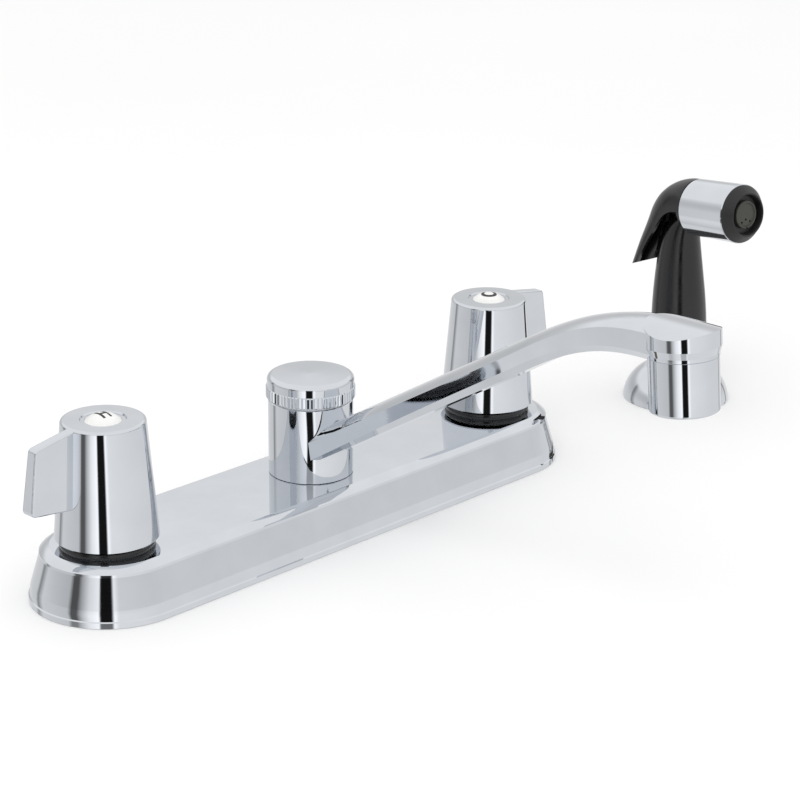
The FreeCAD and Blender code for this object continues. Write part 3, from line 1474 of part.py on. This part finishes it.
def make_valve_spring():
    """The closing spring: an unbroken coil between the floor of its bore and the collar."""
    body = new_body("sprayer_valve_spring")
    wire = 0.26
    coil = 1.9
    low = SPRING_FLOOR + wire + 0.05
    section = new_sketch(body, "XZ_Plane", (0, 0, -VALVE_Y))
    ring(section, wire, (coil, low))
    helix = body.newObject("PartDesign::AdditiveHelix", "AdditiveHelix")
    helix.Profile = section
    helix.ReferenceAxis = (section, ["V_Axis"])
    helix.Mode = "pitch-turns-angle"
    helix.Pitch = 1.15
    helix.Turns = 6
    body.Tip = helix
    return at_sprayer(body, "sprayer_valve_spring")


# ---------------------------------------------------------------------------
# Build, check and write
# ---------------------------------------------------------------------------
def make_all():
    make_deck_plate()
    make_deck_gasket()
    for side, x, turn in (("hot", -HANDLE_X, 0), ("cold", HANDLE_X, 180)):
        make_valve_body(side, x, turn)
        make_deck_nut(side, x, turn)
        make_seat_seal(side, x, turn)
        make_cartridge(side, x, turn)
        make_ceramic_disc(side, "fixed", SEAT_Z + SEAL_T, x, turn)
        make_ceramic_disc(side, "moving", SEAT_Z + SEAL_T + DISC_T + SEATED, x, turn)
        make_stem(side, x, turn)
        make_bonnet_nut(side, x, turn)
        make_lock_washer(side, x, turn)
        winged_nut(f"{side}_lock_nut", SHANK_R + SEATED, 15.5, 23.0, -CLAMP_Z, (x, 0, 0), turn)
        make_handle(side, x, turn + 180)
        make_handle_screw(side, x, turn)
        make_index_button(side, x, turn)
    for side, x_sign in (("hot", -1), ("cold", 1)):
        make_waterway_tube(side, x_sign)
    make_centre_post()
    make_diverter()
    make_spout_o_ring("lower", LOWER_GROOVE_Z)
    make_spout_o_ring("upper", UPPER_GROOVE_Z)
    make_spout_washer()
    make_spout_nut()
    make_spout()
    make_aerator_shell()
    make_aerator_insert()
    make_aerator_screen()
    make_aerator_washer()
    make_spray_holder()
    make_spray_holder_fixings()
    make_hose_coupling()
    make_coupling_washer()
    make_sprayer_grip()
    make_head_sleeve()
    make_nozzle_ring()
    make_spray_disc()
    make_lever_pin()
    make_spray_lever()
    make_sprayer_valve()


make_all()
DOC.recompute()
faults = [thing.Label for thing in DOC.Objects if {"Invalid", "Error"} & set(thing.State)]
for part in PARTS:
    if part.Shape.isNull() or not part.Shape.isValid():
        faults.append(part.Label)
if faults:
    raise RuntimeError("these objects failed: " + ", ".join(faults))
os.makedirs("parts", exist_ok=True)
for part in PARTS:
    part.Shape.exportStep(f"parts/{part.Label}.step")
print(len(PARTS), "sub-parts written")
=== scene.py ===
# %% [markdown]
# # A two-handle kitchen faucet with a side sprayer
# The imported model holds every part of the faucet at its true size, and each part already
# rides on the body that it moves with. This lesson dresses it: finishes for the plated,
# moulded and turned parts, the small things that a drawing leaves out, and a pale studio
# that a polished surface can mirror. The first step is to load the model.

# %% Load the imported model
import json
import math

import bmesh
import bpy
from mathutils import Matrix, Vector


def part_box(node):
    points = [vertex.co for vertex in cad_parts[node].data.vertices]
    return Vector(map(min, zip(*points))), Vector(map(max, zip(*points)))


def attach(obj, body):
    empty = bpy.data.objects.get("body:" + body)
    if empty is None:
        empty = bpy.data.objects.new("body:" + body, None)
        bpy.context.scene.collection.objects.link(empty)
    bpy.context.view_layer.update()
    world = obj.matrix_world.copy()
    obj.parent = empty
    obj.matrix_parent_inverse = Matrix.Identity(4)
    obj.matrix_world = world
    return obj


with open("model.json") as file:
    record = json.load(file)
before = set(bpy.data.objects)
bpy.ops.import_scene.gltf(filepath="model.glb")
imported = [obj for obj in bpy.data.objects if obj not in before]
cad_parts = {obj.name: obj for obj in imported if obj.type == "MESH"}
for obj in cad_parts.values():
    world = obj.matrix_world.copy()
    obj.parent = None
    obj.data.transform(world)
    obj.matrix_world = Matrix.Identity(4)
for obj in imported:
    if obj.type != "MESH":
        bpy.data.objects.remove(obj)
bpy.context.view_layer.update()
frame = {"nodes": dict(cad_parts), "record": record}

MM = 0.001
nodes = frame["nodes"]

# %% [markdown]
# ## Camera
# A photograph of a product is taken from a few metres away or through a long lens, so that
# the object keeps its proportions. The camera here stands to the left of the user and looks
# a little down. Its place is given from the middle of the deck plate, and its tilt by three
# angles, because these are the values that a fit to a photograph gives.

# %% Camera
CAMERA_PLACE = Vector((-609.732, -626.073, 360.479)) * MM
CAMERA_AZIMUTH = -0.8112051
CAMERA_ELEVATION = 0.3422860
CAMERA_ROLL = 0.0082248
FOCAL_LENGTH_MM = 109.28
SENSOR_WIDTH_MM = 36.0

back = Vector((math.sin(CAMERA_AZIMUTH) * math.cos(CAMERA_ELEVATION),
               -math.cos(CAMERA_AZIMUTH) * math.cos(CAMERA_ELEVATION),
               math.sin(CAMERA_ELEVATION)))
level_right = (-back).cross(Vector((0, 0, 1))).normalized()
level_up = level_right.cross(-back)
right = level_right * math.cos(CAMERA_ROLL) + level_up * math.sin(CAMERA_ROLL)
up = level_up * math.cos(CAMERA_ROLL) - level_right * math.sin(CAMERA_ROLL)
camera_data = bpy.data.cameras.new("camera")
camera_data.lens = FOCAL_LENGTH_MM
camera_data.sensor_width = SENSOR_WIDTH_MM
camera_data.clip_start = 0.05
camera = bpy.data.objects.new("camera", camera_data)
camera.matrix_world = (Matrix.Translation(CAMERA_PLACE)
                       @ Matrix((right, up, back)).transposed().to_4x4())
bpy.context.scene.collection.objects.link(camera)
bpy.context.scene.camera = camera
bpy.context.scene.view_settings.view_transform = "Standard"
print("camera", round(CAMERA_PLACE.length, 3), "m from the deck plate's middle")

# %% [markdown]
# ## Helpers for finishes
# Colours are written as the hex values that a paint chart or a photograph gives. Blender
# works in linear light, so one function turns them. A second one adds a node to a material,
# with its settings and its links in one call, and a third starts a material from the
# shader's own values.

# %% Helpers for finishes
def linear(hex_colour):
    """Turn an sRGB hex value into linear red, green, blue and an alpha of one."""
    channels = [int(hex_colour[i:i + 2], 16) / 255 for i in (0, 2, 4)]
    return tuple(c / 12.92 if c <= 0.04045 else ((c + 0.055) / 1.055) ** 2.4
                 for c in channels) + (1.0,)


def add(tree, kind, inputs=None, **settings):
    """Add one node. An input's value is a number or colour, or the socket it is fed from."""
    made = tree.nodes.new(kind)
    for name, value in settings.items():
        setattr(made, name, value)
    for socket, value in (inputs or {}).items():
        if isinstance(value, bpy.types.NodeSocket):
            tree.links.new(value, made.inputs[socket])
        else:
            made.inputs[socket].default_value = value
    return made


def new_finish(name, **shader_values):
    """A material with its shader set, returned with its node tree and the shader."""
    material = bpy.data.materials.new(name)
    material.use_nodes = True
    tree = material.node_tree
    shader = tree.nodes["Principled BSDF"]
    for socket, value in shader_values.items():
        shader.inputs[socket.replace("_", " ")].default_value = value
    return material, tree, shader


def object_noise(tree, size_mm, detail=2.0, stretch=(1, 1, 1)):
    """Noise whose blotches are about this many millimetres across."""
    coordinates = add(tree, "ShaderNodeTexCoord")
    mapping = add(tree, "ShaderNodeMapping", {"Vector": coordinates.outputs["Object"],
                                              "Scale": stretch})
    return add(tree, "ShaderNodeTexNoise", {"Vector": mapping.outputs["Vector"],
                                            "Scale": 1 / (size_mm * MM), "Detail": detail})


def vary(tree, shader, socket, source, low, high):
    """Let a pattern move one of the shader's values between two limits."""
    ranged = add(tree, "ShaderNodeMapRange", {"Value": source, "From Min": 0.3, "From Max": 0.7,
                                              "To Min": low, "To Max": high})
    tree.links.new(ranged.outputs["Result"], shader.inputs[socket])


def relief(tree, shader, source, depth_mm, strength=1.0):
    """Let a pattern raise and lower the surface by this many millimetres."""
    bump = add(tree, "ShaderNodeBump", {"Height": source, "Distance": depth_mm * MM,
                                        "Strength": strength})
    tree.links.new(bump.outputs["Normal"], shader.inputs["Normal"])


def tint(tree, shader, source, first, second):
    """Blend between two colours by a pattern."""
    ramp = add(tree, "ShaderNodeValToRGB", {"Fac": source})
    ramp.color_ramp.elements[0].position = 0.3
    ramp.color_ramp.elements[1].position = 0.7
    ramp.color_ramp.elements[0].color = linear(first)
    ramp.color_ramp.elements[1].color = linear(second)
    tree.links.new(ramp.outputs["Color"], shader.inputs["Base Color"])


print("helpers ready")

# %% [markdown]
# ## Polished chrome plate
# The spout, handles, plate and nut are brass or zinc, polished, nickelled and then plated
# with chromium a fraction of a micron thick. The plate takes its shine from the polishing
# below it, so it mirrors the room almost perfectly. Its colour is a cool grey that sends
# back a little over half the light. Two things keep it from looking like a computed mirror:
# a faint haze of wiping marks, and a waviness of a few microns that the polishing wheel
# leaves.

# %% Polished chrome plate
def polished_chrome_plate():
    material, tree, shader = new_finish("polished_chrome_plate", Metallic=1.0)
    haze = object_noise(tree, 14.0)
    tint(tree, shader, haze.outputs["Fac"], "D3D7DC", "D8DBE0")
    vary(tree, shader, "Roughness", haze.outputs["Fac"], 0.02, 0.05)
    waves = object_noise(tree, 9.0, detail=0.0)
    relief(tree, shader, waves.outputs["Fac"], 0.012)
    return material


chrome = polished_chrome_plate()
print("made", chrome.name)

# %% [markdown]
# ## Turned brass, drawn copper and stainless steel
# These metals are seen only inside and below the deck. Brass is turned, so it has fine
# rings about its axis: the tool advances a few tenths of a millimetre a turn. Copper tube is
# drawn through a die, which leaves long faint streaks along it. The stainless parts are
# stamped or coiled and then tumbled, which leaves an even satin.

# %% Turned brass, drawn copper and stainless steel
TURNING_PITCH_MM = 0.4


def turned_brass():
    material, tree, shader = new_finish("turned_brass", Metallic=1.0)
    patina = object_noise(tree, 11.0)
    tint(tree, shader, patina.outputs["Fac"], "C9A24E", "D8B566")
    vary(tree, shader, "Roughness", patina.outputs["Fac"], 0.22, 0.34)
    coordinates = add(tree, "ShaderNodeTexCoord")
    rings = add(tree, "ShaderNodeTexWave", {"Vector": coordinates.outputs["Object"],
                                            "Scale": 1 / (TURNING_PITCH_MM * MM * 20)},
                bands_direction="Z")
    relief(tree, shader, rings.outputs["Fac"], 0.01)
    return material


def drawn_copper():
    material, tree, shader = new_finish("drawn_copper", Metallic=1.0)
    streaks = object_noise(tree, 1.2, stretch=(0.04, 1, 1))
    tint(tree, shader, streaks.outputs["Fac"], "B4694A", "C98262")
    vary(tree, shader, "Roughness", streaks.outputs["Fac"], 0.2, 0.32)
    return material


def tumbled_stainless_steel():
    material, tree, shader = new_finish("tumbled_stainless_steel", Metallic=1.0)
    grain = object_noise(tree, 0.8)
    tint(tree, shader, grain.outputs["Fac"], "B4B5B4", "C2C3C3")
    vary(tree, shader, "Roughness", grain.outputs["Fac"], 0.26, 0.38)
    return material


brass, copper, stainless = turned_brass(), drawn_copper(), tumbled_stainless_steel()
print("made", brass.name, copper.name, stainless.name)

# %% [markdown]
# ## Moulded plastics
# The sprayer is injection moulded in black ABS from a polished mould: dark, with a clear
# gloss that softens where hands hold it. The index buttons, spout washer and flow former are
# white acetal, the nuts below the deck and the spray disc a dull grey one. A moulded
# surface is never quite flat. It sinks and swells by a few hundredths of a millimetre.

# %% Moulded plastics
def moulded_plastic(name, dark, light, glossiest, dullest, sink_mm=0.01):
    material, tree, shader = new_finish(name, IOR=1.53)
    mottle = object_noise(tree, 6.0)
    tint(tree, shader, mottle.outputs["Fac"], dark, light)
    vary(tree, shader, "Roughness", mottle.outputs["Fac"], glossiest, dullest)
    grain = object_noise(tree, 0.9)
    relief(tree, shader, grain.outputs["Fac"], sink_mm, strength=0.5)
    return material


black_abs = moulded_plastic("glossy_black_abs", "0B0B0C", "0F0F10", 0.16, 0.27)
soft_black = moulded_plastic("matt_black_acetal", "101011", "171718", 0.36, 0.5)
grey_acetal = moulded_plastic("dull_grey_acetal", "34352F", "3D3E38", 0.42, 0.58)
white_acetal = moulded_plastic("white_acetal", "EDEDEA", "F3F3F1", 0.2, 0.3)
print("made four plastics")

# %% [markdown]
# ## Rubber, foam and ceramic
# Seals are nitrile rubber, dull and slightly dusty. The plate's gasket is closed-cell foam,
# each cell showing as a small pit, with painted shade that darkens the pits. The valve discs
# are alumina lapped flat to under a micron, so their faces are smooth and a warm white.

# %% Rubber, foam and ceramic
def nitrile_rubber():
    material, tree, shader = new_finish("nitrile_rubber", IOR=1.52)
    bloom = object_noise(tree, 3.0)
    tint(tree, shader, bloom.outputs["Fac"], "161616", "232323")
    vary(tree, shader, "Roughness", bloom.outputs["Fac"], 0.55, 0.72)
    return material


def closed_cell_foam():
    material, tree, shader = new_finish("closed_cell_foam", IOR=1.5, Roughness=0.9)
    coordinates = add(tree, "ShaderNodeTexCoord")
    cells_and_pit_shade = add(tree, "ShaderNodeTexVoronoi", {"Vector": coordinates.outputs["Object"],
                                               "Scale": 1 / (0.8 * MM)})
    # painted shade: the foam is coloured darker in each pit, by the same pattern that sinks the
    # pit
    tint(tree, shader, cells_and_pit_shade.outputs["Distance"], "1E1E1F", "39393A")
    relief(tree, shader, cells_and_pit_shade.outputs["Distance"], 0.15)
    return material


def lapped_alumina():
    material, tree, shader = new_finish("lapped_alumina", IOR=1.76)
    cloud = object_noise(tree, 2.5)
    tint(tree, shader, cloud.outputs["Fac"], "E6E0D0", "EFEADC")
    vary(tree, shader, "Roughness", cloud.outputs["Fac"], 0.1, 0.18)
    return material


rubber, foam, alumina = nitrile_rubber(), closed_cell_foam(), lapped_alumina()
print("made", rubber.name, foam.name, alumina.name)

# %% [markdown]
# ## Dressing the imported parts
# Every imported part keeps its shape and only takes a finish. The record names a material slot
# for each part, so the slots choose the finish, and the few parts whose real material is
# finer than their slot says are named one by one.

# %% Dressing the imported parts
BY_SLOT = {"chrome": chrome, "brass": brass, "copper": copper, "black_plastic": black_abs,
           "grey_plastic": grey_acetal, "white_plastic": white_acetal, "rubber": rubber,
           "steel": stainless, "ceramic": alumina}
BY_NAME = {"deck_gasket": foam, "nozzle_ring": soft_black}

for part in frame["record"]["subparts"]:
    node = nodes[part["node"]]
    finish = BY_NAME.get(part["node"], BY_SLOT[part["material_slot"]])
    if not node.material_slots:
        node.data.materials.append(finish)
    for place in node.material_slots:
        place.material = finish

# %% [markdown]
# ## Marks on the index buttons
# The white buttons tell hot from cold by one printed letter each. A letter starts as a text
# curve with a little thickness, is cut into small triangles, and is then bent onto the
# button's dome, whose radius follows from its width and its rise. The ink stands a few
# hundredths of a millimetre proud. The buttons are pressed in by hand, so each has its own
# turn: the H is nearly straight, and the C is turned by half a right angle.

# %% Marks on the index buttons
LETTER_MM = 6.4
INK_MM = 0.05
BOLD = 0.03
CUTS = 5
MERGE = 0.0001
DOME_RISE_MM = 2.4
DOME_EDGE_MM = 0.35


def printing_ink():
    material, tree, shader = new_finish("printing_ink", IOR=1.48)
    film = object_noise(tree, 0.7)
    tint(tree, shader, film.outputs["Fac"], "252628", "3A3B3E")
    vary(tree, shader, "Roughness", film.outputs["Fac"], 0.4, 0.6)
    return material


def printed_letter(letter, button, turn, width, aside_mm=0.0):
    """One bold letter bent onto a button's dome: turned by so many degrees, with its width
    scaled and its place moved along the line of writing."""
    outline = bpy.data.curves.new(f"{letter}_outline", "FONT")
    outline.body = letter
    outline.size = 1.0
    outline.extrude = 0.5
    outline.offset = BOLD
    holder = bpy.data.objects.new(f"{letter}_outline", outline)
    bpy.context.scene.collection.objects.link(holder)
    mesh = bpy.data.meshes.new_from_object(holder)
    bpy.data.objects.remove(holder)
    mesh.name = f"letter_{letter}"
    shape = bmesh.new()
    shape.from_mesh(mesh)
    bmesh.ops.remove_doubles(shape, verts=shape.verts[:], dist=MERGE)
    bmesh.ops.triangulate(shape, faces=shape.faces[:])
    bmesh.ops.subdivide_edges(shape, edges=shape.edges[:], cuts=CUTS, use_grid_fill=True)
    xs = [vert.co.x for vert in shape.verts]
    ys = [vert.co.y for vert in shape.verts]
    middle = Vector(((min(xs) + max(xs)) / 2, (min(ys) + max(ys)) / 2, 0))
    scale = LETTER_MM * MM / (max(ys) - min(ys))
    low, high = (Vector(corner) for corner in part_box(button))
    half = (high.x - low.x) / 2 - DOME_EDGE_MM * MM
    rise = DOME_RISE_MM * MM
    radius = (half * half + rise * rise) / (2 * rise)
    spin = Matrix.Rotation(math.radians(turn), 3, "Z")
    for vert in shape.verts:
        side = 1 if vert.co.z > 0 else -1
        flat = (vert.co - middle) * scale
        flat = spin @ Vector((flat.x * width + aside_mm * MM, flat.y, 0))
        fall = radius - math.sqrt(radius * radius - flat.x ** 2 - flat.y ** 2)
        vert.co = Vector(((low.x + high.x) / 2 + flat.x, (low.y + high.y) / 2 + flat.y,
                          high.z - fall + side * INK_MM * MM))
    bmesh.ops.recalc_face_normals(shape, faces=shape.faces[:])
    shape.to_mesh(mesh)
    shape.free()
    mesh.materials.clear()
    mesh.materials.append(ink)
    mark = bpy.data.objects.new(mesh.name, mesh)
    bpy.context.scene.collection.objects.link(mark)
    return mark


ink = printing_ink()
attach(printed_letter("H", "hot_index_button", -5, 0.66), "hot_handle")
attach(printed_letter("C", "cold_index_button", 44, 0.9, aside_mm=-1.0), "cold_handle")
print("letters on both buttons")

# %% [markdown]
# ## Studio
# A polished object shows its surroundings more than itself. Photographers stand it in a tent
# of white cloth with a narrow opening for the lens, and the opening is the thin dark streak
# on every chromed barrel. Here the tent is the world's own light, drawn by compass direction
# and height: pale cloth all round, brightest beside a dark slit near the camera, with softer
# dark gaps further round. The gaps belong to the walls. They fade out towards the roof, and
# partly towards the ground. The floor is kept out of mirror rays, so that the tent's lower
# half shows in its place.

# %% Studio
SLIT = 48.0
# Brightness of the walls by compass angle in degrees, from -Y towards -X.
WALLS = ((0, 0.95), (30, 1.0), (SLIT - 11, 1.4), (SLIT - 8, 0.01), (SLIT + 8, 0.01),
         (SLIT + 10, 1.4), (72, 1.1), (84, 0.5), (89, 0.12), (97, 0.12), (103, 0.7),
         (150, 0.8), (162, 0.3), (168, 0.75), (-30, 0.9), (-84, 0.85), (-88, 0.2),
         (-92, 0.85), (-150, 0.8))
# Brightness by height, from straight down at 0 to straight up at 1.
ROOF = {0.0: 0.85, 0.3: 1.0, 0.46: 1.0, 0.54: 0.86, 0.6: 0.82, 0.68: 1.0, 1.0: 1.0}
# Heights between which the gaps fade out, as the sine of the elevation.
FADE_HIGH = (0.3, 0.42)
FADE_LOW = (-0.47, -0.4)
LEFT_BELOW = 0.35
WHITE = (1.0, 1.0, 1.0, 1.0)


def compass(angle):
    """Where a compass angle falls on the radial gradient."""
    return (0.25 - angle / 360) % 1.0


def stops(ramp, levels):
    """Fill a colour ramp with grey levels at their positions."""
    elements = ramp.color_ramp.elements
    while len(elements) > 1:
        elements.remove(elements[0])
    first = True
    for position, level in sorted(levels.items()):
        stop = elements[0] if first else elements.new(position)
        stop.position = position
        stop.color = (level, level, level, 1.0)
        first = False


def tent_light():
    world = bpy.data.worlds.new("tent")
    bpy.context.scene.world = world
    world.use_nodes = True
    tree = world.node_tree
    direction = add(tree, "ShaderNodeTexCoord").outputs["Generated"]
    around = add(tree, "ShaderNodeTexGradient", {"Vector": direction}, gradient_type="RADIAL")
    height = add(tree, "ShaderNodeSeparateXYZ", {"Vector": direction})
    level = add(tree, "ShaderNodeMapRange", {"Value": height.outputs["Z"], "From Min": -1.0,
                                             "From Max": 1.0})
    walls = add(tree, "ShaderNodeValToRGB", {"Fac": around.outputs["Fac"]})
    stops(walls, {compass(angle): value for angle, value in WALLS})
    roof = add(tree, "ShaderNodeValToRGB", {"Fac": level.outputs["Result"]})
    stops(roof, ROOF)
    low = add(tree, "ShaderNodeMapRange",
              {"Value": height.outputs["Z"], "From Min": FADE_HIGH[0],
               "From Max": FADE_HIGH[1], "To Min": 1.0, "To Max": 0.0})
    deep = add(tree, "ShaderNodeMapRange",
               {"Value": height.outputs["Z"], "From Min": FADE_LOW[0],
                "From Max": FADE_LOW[1], "To Min": LEFT_BELOW, "To Max": 1.0})
    gaps = add(tree, "ShaderNodeMath", {0: low.outputs["Result"], 1: deep.outputs["Result"]},
               operation="MULTIPLY")
    cloth = add(tree, "ShaderNodeMix", {"Factor": gaps.outputs["Value"], "A": WHITE,
                                        "B": walls.outputs["Color"]},
                data_type="RGBA")
    mirrored = add(tree, "ShaderNodeMix", {"Factor": 1.0, "A": cloth.outputs["Result"],
                                           "B": roof.outputs["Color"]},
                   data_type="RGBA", blend_type="MULTIPLY")
    seen = add(tree, "ShaderNodeLightPath")
    tree.nodes["Background"].inputs["Strength"].default_value = 1.0
    backdrop = add(tree, "ShaderNodeMix", {"Factor": seen.outputs["Is Camera Ray"],
                                           "A": mirrored.outputs["Result"],
                                           "B": WHITE}, data_type="RGBA")
    tree.links.new(backdrop.outputs["Result"], tree.nodes["Background"].inputs["Color"])
    return world


print("lit", tent_light().name)

# %% [markdown]
# ## Floor and lamp
# The floor is the worktop that the faucet is bolted to, a wide pale sheet just under the
# plate's gasket. The shanks, tubes and nuts go down through it, out of sight, as they do in a
# kitchen. One large soft lamp stands high on the left and gives the shadows a side; it is kept
# out of mirror rays as well, since the tent already gives the plated parts what they reflect.

# %% Floor and lamp
FLOOR_HALF = 4.0
UNDER_GASKET_MM = 0.2
DECK_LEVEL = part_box("deck_gasket")[0][2] - UNDER_GASKET_MM * MM
BOARD_BLOTCH_MM = 400.0
LAMP_PLACE = (-1.1, -0.7, 1.6)
LAMP_TARGET = (0, 0, 0.05)
LAMP_WIDTH = 1.4
LAMP_WATTS = 9.0


def pale_floor():
    mesh = bpy.data.meshes.new("floor")
    shape = bmesh.new()
    bmesh.ops.create_grid(shape, x_segments=1, y_segments=1, size=FLOOR_HALF)
    shape.to_mesh(mesh)
    shape.free()
    floor = bpy.data.objects.new("floor", mesh)
    bpy.context.scene.collection.objects.link(floor)
    floor.location.z = DECK_LEVEL
    material, tree, shader = new_finish("pale_board", Roughness=0.9, Specular_IOR_Level=0.0)
    board = object_noise(tree, BOARD_BLOTCH_MM)
    tint(tree, shader, board.outputs["Fac"], "F9F9F9", "FBFBFB")
    mesh.materials.append(material)
    floor.visible_glossy = False


def soft_lamp(name, place, target, width, power):
    light = bpy.data.lights.new(name, "AREA")
    light.shape = "DISK"
    light.size = width
    light.energy = power
    lamp = bpy.data.objects.new(name, light)
    lamp.location = place
    lamp.rotation_euler = (Vector(target) - Vector(place)).to_track_quat("-Z", "Y").to_euler()
    lamp.visible_glossy = False
    bpy.context.scene.collection.objects.link(lamp)


pale_floor()
soft_lamp("high_left", LAMP_PLACE, LAMP_TARGET, LAMP_WIDTH, LAMP_WATTS)
print("worktop at", round(DECK_LEVEL / MM, 2), "mm, one lamp")
